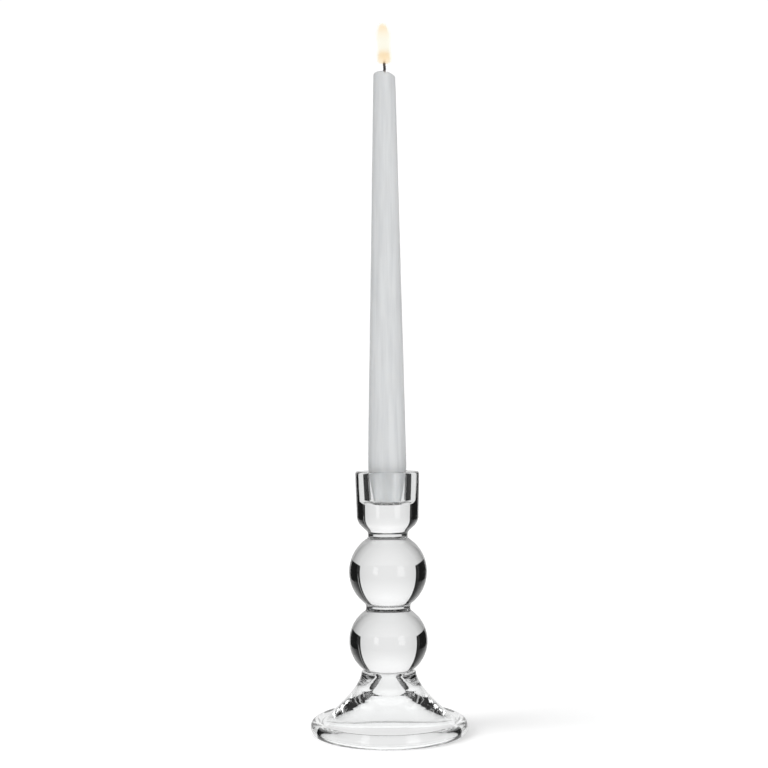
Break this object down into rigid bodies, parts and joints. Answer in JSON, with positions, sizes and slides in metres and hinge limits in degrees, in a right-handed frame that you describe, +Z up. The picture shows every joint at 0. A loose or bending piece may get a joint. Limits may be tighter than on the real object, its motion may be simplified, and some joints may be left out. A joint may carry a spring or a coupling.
{
  "type": "glass candlestick",
  "caption": "Clear glass candlestick with a flared hollow foot, a stem of stacked balls and a socket cup holding a lift-out white taper candle.",
  "frame": {"origin": "centre of the foot's underside, on the surface that the candlestick stands on", "axes": "+Z up along the stem and the candle; the shape is turned about Z, and -Y faces the viewer"},
  "size_m": [0.09, 0.09, 0.3908],
  "materials": {
    "clear_glass": "polished clear, fire-finished",
    "white_wax": "smooth satin wax",
    "wick_cotton": "charred cotton cord, white below the char"
  },
  "bodies": {
    "candlestick": {"foot": "clear_glass", "lower_ball": "clear_glass", "upper_ball": "clear_glass", "candle_cup": "clear_glass"},
    "candle": {"taper_candle": "white_wax", "wick": "wick_cotton"}
  },
  "joints": [
    {"name": "candle_lift", "type": "slide", "parent": "candlestick", "child": "candle", "axis": [0, 0, 1], "range_m": [0, 0.03]}
  ]
}
